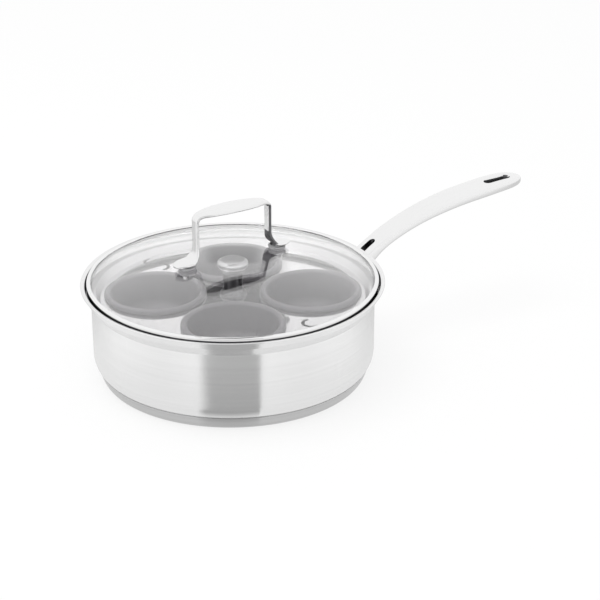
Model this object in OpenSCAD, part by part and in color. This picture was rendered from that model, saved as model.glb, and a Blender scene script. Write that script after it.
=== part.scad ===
// Egg poacher pan: a low steel pan with a pouring rim, a lift-out tray that carries
// four non-stick cups, and a domed glass lid with a bar handle.
// The origin is the centre of the base on the table, +Z is up and the long handle runs along +X.

/* [Pan] */
// Outside diameter of the pan's wall
pan_d = 202; // [200:1:230]
// Thickness of the sheet that the pan is drawn from
pan_t = 1; // [0.8:0.1:1.4]
// Height at which the wall starts to flare
flare_z = 58.5; // [54:0.5:75]
// Height of the sloping seat inside the flare
seat_h = 6.2; // [5.8:0.1:8]
// How far the sloping seat widens on the way up
seat_run = 4.1; // [3.7:0.1:4.8]
// Height from the seat up to the top of the lip
lip_h = 5.7; // [4:0.1:7]
// Width of the turned-out lip
lip_w = 3; // [2:0.1:4]
// Outside radius of the corner between wall and bottom
corner_r = 13; // [8:1:18]

/* [Base] */
// Thickness of the aluminium core
core_t = 4.4; // [3:0.1:6]
// Thickness of the steel cap under the core
cap_t = 0.8; // [0.6:0.1:1.2]
// Height of the cap's rim on the corner
cap_h = 9.2; // [8.5:0.1:11]
// How far the flat of the base stays inside the wall
foot_inset = 8.5; // [7:0.5:11]

/* [Long handle] */
// Distance from the pan's centre to the tip of the handle
handle_reach = 255; // [225:1:300]
// Height of the grip's top above the pan's rim
handle_rise = 29.5; // [20:0.5:45]
// Width of the grip
handle_w = 24.5; // [20:0.5:30]
// Depth of the grip
handle_t = 8; // [6:0.5:12]
// Width of the neck beside the pan
neck_w = 18; // [15:0.5:22]
// Width of the pad on the wall
pad_w = 27; // [24:0.5:34]
// Height of the pad's lower edge
pad_z = 31; // [26:1:38]
// Length of the hanging slot
hang_l = 23; // [15:1:30]
// Width of the hanging slot
hang_w = 7; // [5:0.5:10]
// Solid metal between the hanging slot and the tip
hang_edge = 9.5; // [7:0.5:14]
// Length of the cooling slot beside the pan
vent_l = 12.4; // [9:0.2:16]
// Width of the cooling slot
vent_w = 6; // [5:0.5:8]
// Solid metal between the lip's edge and the cooling slot
vent_edge = 0.8; // [0.5:0.1:3]
// Diameter of a rivet's shank
rivet_d = 4; // [3:0.5:5]
// Diameter of a rivet's head inside the pan
rivet_head_d = 10; // [8:0.5:12]
// Height of the rivets
rivet_z = 45; // [43:0.5:48]
// How far a rivet goes into the handle's pad
rivet_in = 5; // [4:0.5:6]
// Distance between the two rivets
rivet_gap = 13; // [11:0.5:14]

/* [Tray] */
// Thickness of the tray's sheet
tray_t = 0.9; // [0.7:0.1:1.2]
// How far the tray's flange reaches over the straight wall
tray_over = 1; // [0.6:0.1:1.5]
// Depth of the tray from its flange to its plate
tray_dish = 4.6; // [3:0.1:6]
// Width of the tray's flange
tray_flange = 4; // [3:0.5:6]
// Width of the slope between flange and plate
tray_slope = 3; // [2:0.5:5]
// Turn of the cup pattern from the long handle
tray_turn = -30; // [-45:1:45]
// Radius of the two bends of a steam slot
vent_bend = 6; // [5:0.5:7]
// Width of a steam slot
steam_w = 2.4; // [1.6:0.2:3]
// Distance from the tray's centre to a steam slot
steam_at = 80; // [78:0.5:84]
// Turn of a steam slot
steam_turn = 75; // [0:1:90]

/* [Cups] */
// Distance from the tray's centre to a cup's centre
cup_at = 55; // [54:0.5:56]
// Outside diameter of a cup's rolled rim
cup_d = 72.4; // [66:0.2:75]
// Width of the rolled rim
cup_rim_w = 4.9; // [4:0.1:6]
// Depth of a cup from the top of its rim to its floor
cup_depth = 25; // [18:0.5:30]
// Wall thickness of a cup
cup_t = 1.2; // [0.8:0.1:1.6]
// How much the wall draws in towards the floor
cup_taper = 4.3; // [2:0.1:7]
// Inside radius between a cup's wall and floor
cup_corner = 8; // [4:0.5:12]

/* [Knob] */
// Diameter of the lifting knob
knob_d = 22; // [18:0.5:26]
// Free height between the knob and the lid
knob_clear = 2.7; // [2:0.1:5]
// Thickness of the knob's head
knob_head = 5; // [3.5:0.5:7]
// Depth of the threaded hole in the knob
knob_bore = 12; // [8:1:14]
// Diameter of the knob's neck
knob_neck_d = 14; // [10:0.5:18]
// Diameter of the knob's foot
knob_foot_d = 19; // [14:0.5:22]
// Diameter of the screw that holds the knob
knob_screw_d = 5; // [4:0.5:6]

/* [Lid] */
// Sideways gap between the steel band and the upright part of the rim
lid_play = 1.3; // [1.3:0.1:2.5]
// Height of the steel band
band_h = 6.8; // [6.4:0.1:8]
// Thickness of the steel band
band_t = 0.6; // [0.4:0.1:0.8]
// How far the band's edges reach in over the glass
band_lap = 2.9; // [2:0.1:5]
// Radius of the dome's outer surface
dome_r = 285; // [240:5:340]
// Thickness of the glass
glass_t = 4; // [3:0.1:4.2]

/* [Lid handle] */
// Height of the lid handle above the glass, from the feet up
bar_h = 36.7; // [30:0.1:45]
// Distance between the outer faces of the legs
bar_span = 61; // [55:1:75]
// Width of the grip at its middle
bar_w = 18.4; // [14:0.2:24]
// Thickness of the grip
bar_t = 2.7; // [2.2:0.1:4]
// Width of a leg
leg_w = 7; // [5.5:0.5:9]
// Width of a foot
foot_w = 15; // [12.5:0.5:18]
// How far a foot reaches out past its leg
foot_out = 18; // [16:0.5:22]
// Distance from a leg's outer face to the screw in its foot
screw_out = 6; // [5.5:0.1:7]
// Diameter of a lid screw
screw_d = 4; // [3:0.5:4]
// Diameter of the rubber rings
ring_d = 12.5; // [11:0.5:13]
// Diameter of the steel rings
collar_d = 10; // [9:0.5:11]
// Thickness of a rubber ring above the glass
ring_t = 1.3; // [1.2:0.1:2]
// Thickness of a steel ring above the rubber
collar_t = 0.8; // [0.6:0.1:1.5]

/* [Fits] */
// Gap between a lift-out piece and its seat
seat_gap = 0.3; // [0.2:0.05:0.5]
// Gap around fixed screws, rivets and bonded faces
fit_gap = 0.05; // [0.03:0.01:0.1]
// Gap around a cup in its hole
cup_gap = 0.5; // [0.3:0.1:0.8]

/* [Hidden] */
$fn = 96;
cups = 4;
steel = "silver";
over = 1; // how far a cutting shape runs past the face that it cuts
washer_t = 1; // thickness of every washer
driver_w = 1.2; // width of the slot in a screw's head
driver_h = 1.2; // depth of the slot in a screw's head
hole_play = 0.4; // how much wider a clearance hole is than its screw

// Pan
pan_r = pan_d / 2;
inner_r = pan_r - pan_t;
base_t = cap_t + core_t;
corner_z = base_t + corner_r;
corner_x = pan_r - corner_r;
rim_z = flare_z + seat_h + lip_h;
rim_r = pan_r + seat_run + lip_w;
slope = seat_run / seat_h;
foot_r = pan_r - foot_inset + 2;
core_r = pan_r - corner_r + 5;
lean = sqrt(1 + pow(slope, 2));
seat_off = (pan_t / 2 + seat_gap) * lean - pan_t / 2;
// Height at which an edge of the given radius rests on the sloping seat
function seat_z(r) = flare_z + (r - inner_r + seat_off) / slope;
// Outside radius of the corner at a given height
function cap_r(z) = corner_x + sqrt(pow(corner_r, 2) - pow(corner_z - z, 2));

// Tray
flange_r = inner_r + tray_over;
flange_z = seat_z(flange_r);
plate_z = flange_z + tray_t - tray_dish;
plate_r = flange_r - tray_flange - tray_slope;
plate_low = plate_z - tray_t;

// Cups
cup_r = cup_d / 2;
mouth_r = cup_r - cup_rim_w;
cup_seat = plate_z + seat_gap;
roll_r = cup_rim_w / 2;
roll_z = cup_seat + 0.9;
cup_floor = roll_z + roll_r - cup_depth;
hole_r = mouth_r + cup_t + cup_gap;

// Lid
band_r = pan_r + seat_run - lid_play;
band_low = seat_z(band_r);
band_top = band_low + band_h;
lap_r = band_r - band_lap;
glass_r = band_r - band_t - fit_gap;
dome_z = band_top - band_t - fit_gap - sqrt(pow(dome_r, 2) - pow(lap_r, 2));
function glass_top(r) = dome_z + sqrt(pow(dome_r, 2) - pow(r, 2));
function glass_low(r) = dome_z + sqrt(pow(dome_r - glass_t, 2) - pow(r, 2));
screw_x = bar_span / 2 + screw_out;
knob_h = glass_low(knob_d / 2) - knob_clear - plate_z;
ring_z = glass_top(screw_x) + ring_t;
foot_z = ring_z + collar_t;
bar_z = foot_z + bar_h;
low_ring_z = glass_low(screw_x + ring_d / 2) - 1.6;
lid_head_t = 2.5;
knob_head_t = 3;
boss_r = 3.2;

// Smooth curve through a list of stations
function curve(p, i, t) =
    let (a = p[max(i - 1, 0)], b = p[i], c = p[i + 1], d = p[min(i + 2, len(p) - 1)])
    (2 * b + (c - a) * t + (2 * a - 5 * b + 4 * c - d) * pow(t, 2) + (3 * b - a - 3 * c + d) * pow(t, 3)) / 2;
function smooth(p, steps) =
    concat([for (i = [0:len(p) - 2], j = [0:steps - 1]) curve(p, i, j / steps)], [p[len(p) - 1]]);

// Rounded cross-section: a squarer upper half and a rounder lower half
sides = 16;
function soft(c, k) = sign(c) * pow(abs(c), 2 / k);
function section(w, t, upper, lower) =
    [for (i = [0:sides - 1])
        let (a = 360 * (i + 0.5) / sides, k = sin(a) > 0 ? upper : lower)
        [w / 2 * soft(cos(a), k), t / 2 * soft(sin(a), k)]];

// Solid skin over a row of rings
module skin(rings) {
    n = len(rings[0]);
    last = len(rings) - 1;
    walls = [for (i = [0:last - 1], j = [0:n - 1])
        let (a = i * n + j, b = i * n + (j + 1) % n)
        each [[a, a + n, b + n], [a, b + n, b]]];
    polyhedron(
        points = [for (r = rings) each r],
        faces = concat(walls, [[for (j = [0:n - 1]) j]], [[for (j = [n - 1:-1:0]) last * n + j]]),
        convexity = 6);
}

// Sheet of even thickness along a line of points, mitred at each bend
function unit(v) = v / norm(v);
function offset_line(p, d) =
    [for (i = [0:len(p) - 1])
        let (
            before = unit(p[max(i, 1)] - p[max(i, 1) - 1]),
            after = unit(p[min(i, len(p) - 2) + 1] - p[min(i, len(p) - 2)]),
            across = unit([-before.y - after.y, before.x + after.x]))
        p[i] + across * d / (across * [-before.y, before.x])];
module sheet(points, t) {
    right = offset_line(points, -t / 2);
    last = len(right) - 1;
    polygon(concat(offset_line(points, t / 2), [for (i = [last:-1:0]) right[i]]));
}

// Quarter of a ring in the lower right
module corner(r, t) {
    intersection() {
        difference() {
            circle(r);
            circle(r - t);
        }
        translate([0, -r]) square([r, r]);
    }
}

// Straight slot with round ends, from x = 0 to x = l
module slot(l, w) {
    translate([w / 2, -w / 2]) square([l - w, w]);
    for (x = [w / 2, l - w / 2]) translate([x, 0]) circle(w / 2);
}

// Filled half-section of a bowl: floor at z, corner of radius r and the given line as its side
module bowl_fill(z, r, side) {
    translate([0, z]) square([corner_x, corner_z - z + over]);
    translate([corner_x, corner_z]) circle(r);
    polygon(concat([[0, corner_z]], side));
}

module pan_section() {
    seat_foot = [inner_r + pan_t / 2, flare_z];
    seat_head = seat_foot + [seat_run, seat_h];
    lip_foot = seat_head + [1, lip_h - 1.3];
    lip_edge = [rim_r, rim_z - pan_t / 2];
    line = [[seat_foot.x, corner_z], seat_foot, seat_head, lip_foot, lip_edge];
    outside = offset_line(line, -pan_t / 2);
    inside = offset_line(line, pan_t / 2);
    brim = inside[len(line) - 1];
    difference() {
        bowl_fill(base_t, corner_r, concat(outside, [brim, [0, brim.y]]));
        bowl_fill(base_t + pan_t, corner_r - pan_t, concat(inside, [brim + [0, over], [0, brim.y + over]]));
    }
}

// Shape that follows the two rivets, along X from x0 to x1
module rivet_pair(r, x0, x1) {
    for (s = [-1, 1])
        translate([x0, s * rivet_gap / 2, rivet_z]) rotate([0, 90, 0]) cylinder(r = r, h = x1 - x0);
}

// Drawn ring of the pan: corner, wall, seat and lip
module pan_body() {
    color(steel) difference() {
        rotate_extrude() intersection() {
            pan_section();
            translate([corner_x + fit_gap, 0]) square([rim_r, rim_z + over]);
        }
        rivet_pair(rivet_d / 2 + fit_gap, inner_r - 2 * over, pan_r + over);
    }
}

// Flat of the same sheet inside the ring, a plain disc of its own
module pan_floor() {
    color(steel) translate([0, 0, base_t]) cylinder(r = corner_x, h = pan_t);
}

module base_core() {
    color("lightgray") translate([0, 0, cap_t]) cylinder(r = core_r, h = core_t - fit_gap);
}

module base_cap() {
    rim = cap_r(cap_h) + 0.7;
    color(steel) rotate_extrude() difference() {
        polygon([[0, 0], [foot_r - 2, 0], [foot_r, 0.8], [foot_r + 1.1, 2.4], [rim, cap_h], [0, cap_h]]);
        translate([-over, cap_t - fit_gap]) square([core_r + over + fit_gap, cap_h]);
        translate([corner_x, corner_z]) circle(corner_r + fit_gap);
        translate([-over, base_t - fit_gap]) square([corner_x + over, cap_h]);
    }
}

// Stations along the long handle: distance out, top height, lower height, width
grip_z = rim_z + handle_rise;
free_l = handle_reach - rim_r;
function rise_at(share) = rim_z + share * handle_rise;
stations = [
    [pan_r - 3, flare_z - 4, pad_z, pad_w],
    [pan_r + 3, flare_z + 2.2, pad_z + 7, pad_w - 3],
    [rim_r + 2, rim_z - 3.2, pad_z + 18.5, neck_w + 0.5],
    [rim_r + 0.08 * free_l, rise_at(0.1), rise_at(0.1) - 1.5 * handle_t, neck_w - 0.5],
    [rim_r + 0.18 * free_l, rise_at(0.34), rise_at(0.34) - 1.13 * handle_t, neck_w + 1],
    [rim_r + 0.35 * free_l, rise_at(0.63), rise_at(0.63) - handle_t, 0.88 * handle_w],
    [rim_r + 0.56 * free_l, rise_at(0.85), rise_at(0.85) - handle_t, 0.98 * handle_w],
    [rim_r + 0.8 * free_l, rise_at(0.97), rise_at(0.97) - handle_t, handle_w],
    [rim_r + 0.92 * free_l, grip_z, grip_z - 0.9 * handle_t, 0.9 * handle_w],
    [rim_r + 0.98 * free_l, grip_z - 0.2, grip_z - 0.8 * handle_t, 0.56 * handle_w],
    [handle_reach, grip_z - 0.9, grip_z - 0.65 * handle_t, 0.2 * handle_w]];

module long_handle() {
    vent_x = rim_r + vent_edge;
    hang_x = handle_reach - hang_edge - hang_l;
    color(steel) difference() {
        skin([for (s = smooth(stations, 3))
            [for (q = section(s[3], s[1] - s[2], 4, 2.4)) [s[0], q[0], (s[1] + s[2]) / 2 + q[1]]]]);
        cylinder(r = pan_r + fit_gap, h = rim_z);
        rivet_pair(rivet_d / 2 + fit_gap, pan_r - over, pan_r + rivet_in + fit_gap);
        translate([vent_x, 0, pad_z - over]) linear_extrude(grip_z) slot(vent_l, vent_w);
        translate([hang_x, 0, rim_z]) linear_extrude(2 * handle_rise) slot(hang_l, hang_w);
    }
}

// One rivet: domed head inside the pan, shank through the wall into the handle's pad
module rivet(side) {
    head = rivet_head_d / 2;
    brim = 0.8;
    crown = 1;
    face = sqrt(pow(inner_r, 2) - pow(rivet_gap / 2 + head, 2)) - fit_gap;
    color(steel) translate([0, side * rivet_gap / 2, rivet_z]) rotate([0, 90, 0]) {
        translate([0, 0, face - brim]) cylinder(r = head, h = brim);
        translate([0, 0, face - brim - crown]) cylinder(r1 = head / 2, r2 = head, h = crown);
        translate([0, 0, face]) cylinder(r = rivet_d / 2, h = pan_r + rivet_in - face);
    }
}

// S-curved steam slot: two bends of nearly half a turn each
module steam_slot() {
    for (s = [0, 180]) rotate(s) translate([0, vent_bend]) {
        intersection() {
            difference() {
                circle(vent_bend + steam_w / 2);
                circle(vent_bend - steam_w / 2);
            }
            translate([-2 * vent_bend, -2 * vent_bend]) square([2 * vent_bend, 4 * vent_bend]);
        }
        translate([0, vent_bend]) circle(steam_w / 2, $fn = 32);
    }
}

module at_cup(i) {
    rotate(tray_turn + i * 360 / cups) translate([cup_at, 0, 0]) children();
}

module tray() {
    mid = plate_z - tray_t / 2;
    flange_mid = flange_z + tray_t / 2;
    color(steel) difference() {
        rotate_extrude()
            sheet(
                [[0, mid], [plate_r, mid], [plate_r + tray_slope, flange_mid], [flange_r, flange_mid]],
                tray_t);
        for (i = [0:cups - 1])
            at_cup(i) translate([0, 0, plate_low - over]) cylinder(r = hole_r, h = tray_t + 2 * over);
        for (i = [1, 3])
            rotate(tray_turn + (i + 0.5) * 360 / cups) translate([steam_at, 0, plate_low - over])
                rotate(steam_turn) linear_extrude(tray_t + 2 * over) steam_slot();
        translate([0, 0, plate_low - over]) cylinder(d = knob_screw_d + hole_play, h = tray_t + 2 * over);
    }
}

module lifting_knob() {
    top = plate_z + knob_h;
    neck = knob_neck_d / 2;
    head = knob_d / 2;
    edge = 1.5;
    color(steel) difference() {
        translate([0, 0, plate_z]) rotate_extrude() {
            square([knob_foot_d / 2, 1.2]);
            polygon([[0, 1.2], [knob_foot_d / 2, 1.2], [neck, 5], [neck, knob_h - knob_head - 4],
                [head - edge, knob_h - knob_head], [0, knob_h - knob_head]]);
            translate([0, knob_h - knob_head]) square([head - edge, knob_head]);
            translate([0, knob_h - knob_head + edge]) square([head, knob_head - 2 * edge]);
            for (z = [edge, knob_head - edge])
                translate([head - edge, knob_h - knob_head + z]) circle(edge, $fn = 32);
        }
        translate([0, 0, plate_z - over]) cylinder(d = knob_screw_d + 2 * fit_gap, h = knob_bore + over);
    }
}

module knob_washer() {
    color(steel) translate([0, 0, plate_low - washer_t]) difference() {
        cylinder(r = knob_foot_d / 2 - 1, h = washer_t);
        translate([0, 0, -over]) cylinder(d = knob_screw_d + hole_play, h = washer_t + 2 * over);
    }
}

module knob_screw() {
    head_z = plate_low - washer_t;
    color(steel) difference() {
        union() {
            translate([0, 0, head_z - knob_head_t]) cylinder(d = knob_screw_d + 4, h = knob_head_t);
            translate([0, 0, head_z]) cylinder(d = knob_screw_d, h = plate_z + knob_bore - 0.5 - head_z);
        }
        translate([-knob_screw_d / 2 - over, -driver_w / 2, head_z - knob_head_t - over])
            cube([knob_screw_d + 2 * over, driver_w, driver_h + over]);
    }
}

module cup(i) {
    bend_r = mouth_r - cup_taper - cup_corner;
    bend_x = bend_r + cup_corner;
    bend_z = cup_floor + cup_corner;
    color("dimgray") at_cup(i) rotate_extrude() {
        // rolled rim
        translate([cup_r - roll_r, roll_z]) intersection() {
            difference() {
                circle(roll_r);
                circle(roll_r - cup_t);
            }
            translate([-cup_r, 0]) square([2 * cup_r, cup_r]);
        }
        translate([cup_r - cup_t, cup_seat]) square([cup_t, roll_z - cup_seat]);
        // tapered wall, corner and floor
        polygon([[mouth_r, roll_z], [bend_x, bend_z], [bend_x + cup_t, bend_z], [mouth_r + cup_t, roll_z]]);
        translate([bend_r, bend_z]) corner(cup_corner + cup_t, cup_t);
        translate([0, cup_floor - cup_t]) square([bend_r, cup_t]);
    }
}

module lid_glass() {
    color("lightcyan", 0.35) difference() {
        rotate_extrude() intersection() {
            translate([0, dome_z]) difference() {
                circle(dome_r, $fn = 360);
                circle(dome_r - glass_t, $fn = 360);
            }
            translate([0, band_low]) square([glass_r, dome_r]);
        }
        for (s = [-1, 1])
            translate([s * screw_x, 0, band_low]) cylinder(r = screw_d / 2 + 1, h = dome_r);
    }
}

module lid_band() {
    color(steel) rotate_extrude() {
        translate([band_r - band_t, band_low + band_t / 2]) square([band_t, band_h - band_t]);
        for (z = [band_low, band_top - band_t])
            translate([lap_r, z]) square([band_lap - band_t / 2, band_t]);
        for (z = [band_low + band_t / 2, band_top - band_t / 2])
            translate([band_r - band_t / 2, z]) circle(band_t / 2, $fn = 32);
    }
}

// Stations along half of the lid handle, from the middle out: x, z, width, thickness
leg_x = bar_span / 2 - 1.2;
foot_t = bar_t - 0.5;
foot_mid = foot_z + foot_t / 2;
half_bar = [
    [leg_x * 0.22, bar_z - 1.3, bar_w, bar_t],
    [leg_x * 0.55, bar_z - 1.5, bar_w * 0.86, bar_t],
    [leg_x * 0.86, bar_z - 2, bar_w * 0.54, bar_t],
    [leg_x - 0.5, bar_z - 4.5, leg_w + 1, bar_t],
    [leg_x, bar_z - 10, leg_w, bar_t - 0.1],
    [leg_x, foot_z + 12, leg_w, bar_t - 0.1],
    [leg_x + 0.4, foot_z + 8, leg_w + 1.5, bar_t - 0.1],
    [leg_x + 1.9, foot_mid + 3.4, foot_w - 3, foot_t + 0.2],
    [screw_x - 2.4, foot_mid + 0.6, foot_w, foot_t],
    [screw_x + 1.6, foot_mid + 0.1, foot_w, foot_t],
    [leg_x + foot_out - 5.5, foot_mid, foot_w * 0.87, foot_t],
    [leg_x + foot_out - 2, foot_mid - 0.4, foot_w * 0.55, foot_t - 0.3],
    [leg_x + foot_out, foot_mid - 0.8, foot_w * 0.2, foot_t - 0.9]];
bar_stations = concat(
    [for (i = [len(half_bar) - 1:-1:0]) [-half_bar[i][0], half_bar[i][1], half_bar[i][2], half_bar[i][3]]],
    half_bar);

module lid_handle() {
    line = smooth(bar_stations, 2);
    end = len(line) - 1;
    color(steel) difference() {
        union() {
            skin([for (i = [0:end])
                let (
                    s = line[i],
                    v = line[min(i + 1, end)] - line[max(i - 1, 0)],
                    l = norm([v[0], v[1]]),
                    up = [-v[1] / l, v[0] / l])
                [for (q = section(s[2], s[3], 3, 3)) [s[0] + up[0] * q[1], q[0], s[1] + up[1] * q[1]]]]);
            for (s = [-1, 1])
                translate([s * screw_x, 0, ring_z + fit_gap]) cylinder(r = boss_r, h = foot_mid - ring_z);
        }
        for (s = [-1, 1])
            translate([s * screw_x, 0, ring_z])
                cylinder(r = screw_d / 2 + fit_gap, h = foot_mid - ring_z + 0.6);
    }
}

module collar(side) {
    color(steel) translate([side * screw_x, 0, ring_z + fit_gap]) difference() {
        cylinder(d = collar_d, h = collar_t - 2 * fit_gap);
        translate([0, 0, -over]) cylinder(r = boss_r + fit_gap, h = collar_t + 2 * over);
    }
}

module upper_ring(side) {
    low = glass_top(screw_x + ring_d / 2);
    color("gray") difference() {
        translate([side * screw_x, 0, low]) cylinder(d = ring_d, h = ring_z - low);
        translate([0, 0, dome_z]) sphere(dome_r + fit_gap, $fn = 360);
        translate([side * screw_x, 0, low - over]) cylinder(r = screw_d / 2 + fit_gap, h = ring_z);
    }
}

module lower_ring(side) {
    high = glass_low(screw_x - ring_d / 2);
    color("gray") difference() {
        intersection() {
            translate([side * screw_x, 0, low_ring_z]) cylinder(d = ring_d, h = high - low_ring_z);
            translate([0, 0, dome_z]) sphere(dome_r - glass_t - fit_gap, $fn = 360);
        }
        translate([side * screw_x, 0, low_ring_z - over]) cylinder(r = screw_d / 2 + fit_gap, h = ring_z);
    }
}

module lid_washer(side) {
    color(steel) translate([side * screw_x, 0, low_ring_z - washer_t]) difference() {
        cylinder(d = collar_d, h = washer_t);
        translate([0, 0, -over]) cylinder(r = screw_d / 2 + fit_gap, h = washer_t + 2 * over);
    }
}

module lid_screw(side) {
    head_top = low_ring_z - washer_t;
    color(steel) translate([side * screw_x, 0, 0]) difference() {
        union() {
            translate([0, 0, head_top - lid_head_t]) cylinder(d = screw_d + 3.6, h = lid_head_t);
            translate([0, 0, head_top]) cylinder(d = screw_d, h = foot_mid + 0.4 - head_top);
        }
        translate([-screw_d / 2 - over, -driver_w / 2, head_top - lid_head_t - over])
            cube([screw_d + 2 * over, driver_w, driver_h + over]);
    }
}

pan_body();
pan_floor();
base_core();
base_cap();
long_handle();
rivet(1);  // rivet_left
rivet(-1);  // rivet_right
tray();
lifting_knob();
knob_washer();
knob_screw();
cup(0);  // cup_1
cup(1);  // cup_2
cup(2);  // cup_3
cup(3);  // cup_4
lid_glass();
lid_band();
lid_handle();
collar(-1);  // collar_left
collar(1);  // collar_right
upper_ring(-1);  // upper_ring_left
upper_ring(1);  // upper_ring_right
lower_ring(-1);  // lower_ring_left
lower_ring(1);  // lower_ring_right
lid_washer(-1);  // lid_washer_left
lid_washer(1);  // lid_washer_right
lid_screw(-1);  // lid_screw_left
lid_screw(1);  // lid_screw_right
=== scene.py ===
import math
import bpy
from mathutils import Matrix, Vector


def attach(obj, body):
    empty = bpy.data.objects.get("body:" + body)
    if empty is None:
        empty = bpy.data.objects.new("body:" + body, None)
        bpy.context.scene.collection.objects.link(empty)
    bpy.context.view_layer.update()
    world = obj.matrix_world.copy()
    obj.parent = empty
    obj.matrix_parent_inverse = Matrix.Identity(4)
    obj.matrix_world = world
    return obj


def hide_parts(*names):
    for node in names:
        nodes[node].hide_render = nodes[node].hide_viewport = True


# Egg poacher pan, dressed for the photograph.
# Shapes are given in millimetres in the dictionaries and turned into metres as they are built.

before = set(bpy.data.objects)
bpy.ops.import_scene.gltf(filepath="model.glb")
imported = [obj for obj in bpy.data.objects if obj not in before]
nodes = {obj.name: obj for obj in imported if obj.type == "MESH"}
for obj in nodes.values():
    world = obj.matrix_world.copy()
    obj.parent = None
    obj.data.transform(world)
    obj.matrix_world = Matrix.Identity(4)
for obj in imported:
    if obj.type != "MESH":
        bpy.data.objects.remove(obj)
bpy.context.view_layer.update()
mm = 0.001
print("frame loaded:", len(nodes), "nodes")


# modelling helpers

def startClean():
    if bpy.context.object and bpy.context.object.mode != "OBJECT":
        bpy.ops.object.mode_set(mode="OBJECT")
    bpy.ops.object.select_all(action="DESELECT")


def placed(name):
    piece = bpy.context.object
    bpy.ops.object.transform_apply(location=True, rotation=True, scale=True)
    piece.name = name
    piece.data.name = name
    return piece


def arcPoints(centre, radius, start, end, count=8):
    points = []
    for i in range(count + 1):
        a = math.radians(start + (end - start) * i / count)
        points.append((centre[0] + radius * math.cos(a), centre[1] + radius * math.sin(a)))
    return points


def rounded(corners, steps=5):
    # corners are (r, z, radius): each one with a radius becomes an arc
    points = []
    for i, (x, z, radius) in enumerate(corners):
        here = Vector((x, z))
        if not radius or i in (0, len(corners) - 1):
            points.append(tuple(here))
            continue
        back = (Vector(corners[i - 1][:2]) - here).normalized()
        ahead = (Vector(corners[i + 1][:2]) - here).normalized()
        half = back.angle(ahead) / 2
        centre = here + (back + ahead).normalized() * (radius / math.sin(half))
        first = here + back * (radius / math.tan(half)) - centre
        last = here + ahead * (radius / math.tan(half)) - centre
        turn = first.angle_signed(last)
        count = max(2, round(steps * abs(turn)))
        for k in range(count + 1):
            a = -turn * k / count
            points.append((centre.x + first.x * math.cos(a) - first.y * math.sin(a),
                           centre.y + first.x * math.sin(a) + first.y * math.cos(a)))
    return points


def sheetSides(line, thickness):
    # both sides of a sheet along a line of (r, z), mitred at the bends
    left, right = [], []
    for i, point in enumerate(line):
        here = Vector(point)
        before = (here - Vector(line[i - 1])).normalized() if i else (Vector(line[1]) - here).normalized()
        after = (Vector(line[i + 1]) - here).normalized() if i < len(line) - 1 else before
        normal = Vector((-before.y, before.x))
        across = Vector((-before.y - after.y, before.x + after.x)).normalized()
        step = across * (thickness / 2 / across.dot(normal))
        left.append(tuple(here + step))
        right.append(tuple(here - step))
    return left, right


def spinProfile(name, profile, centre=(0, 0), steps=160, closed=False, smoothAngle=35):
    # one vertex is extruded along the profile, then spun round an upright axis
    startClean()
    cx, cy = centre
    places = [Vector((cx + r, cy, z)) * mm for r, z in profile]
    bpy.ops.mesh.primitive_plane_add(size=mm, location=places[0])
    piece = placed(name)
    bpy.ops.object.mode_set(mode="EDIT")
    bpy.ops.mesh.select_mode(type="VERT")
    bpy.ops.mesh.select_all(action="SELECT")
    bpy.ops.mesh.merge(type="CENTER")
    for a, b in zip(places, places[1:]):
        bpy.ops.mesh.extrude_region_move(TRANSFORM_OT_translate={"value": tuple(b - a)})
    if closed:
        bpy.ops.object.mode_set(mode="OBJECT")
        count = len(piece.data.vertices)
        for v in piece.data.vertices:
            v.select = v.index in (0, count - 1)
        bpy.ops.object.mode_set(mode="EDIT")
        bpy.ops.mesh.edge_face_add()
    bpy.ops.mesh.select_all(action="SELECT")
    bpy.ops.mesh.spin(steps=steps, angle=math.tau, center=(cx * mm, cy * mm, 0), axis=(0, 0, 1))
    bpy.ops.mesh.select_all(action="SELECT")
    bpy.ops.mesh.remove_doubles(threshold=0.000002)
    bpy.ops.mesh.normals_make_consistent(inside=False)
    bpy.ops.object.mode_set(mode="OBJECT")
    bpy.ops.object.shade_smooth_by_angle(angle=math.radians(smoothAngle))
    return piece


def blendStations(stations, steps):
    # smooth curve through rows of numbers
    rows = []
    last = len(stations) - 1
    for i in range(last):
        a, b = stations[max(i - 1, 0)], stations[i]
        c, d = stations[i + 1], stations[min(i + 2, last)]
        for k in range(steps):
            t = k / steps
            rows.append([(2 * q + (r - p) * t + (2 * p - 5 * q + 4 * r - s) * t ** 2
                          + (3 * q - p - 3 * r + s) * t ** 3) / 2
                         for p, q, r, s in zip(a, b, c, d)])
    rows.append(list(stations[last]))
    return rows


def squareRound(width, depth, upper, lower, sides):
    # outline of a bar: the powers say how square its upper and lower halves are
    outline = []
    for i in range(sides):
        a = math.tau * (i + 0.5) / sides
        power = upper if math.sin(a) > 0 else lower
        u = math.copysign(abs(math.cos(a)) ** (2 / power), math.cos(a)) * width / 2
        v = math.copysign(abs(math.sin(a)) ** (2 / power), math.sin(a)) * depth / 2
        outline.append((u, v))
    return outline


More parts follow.
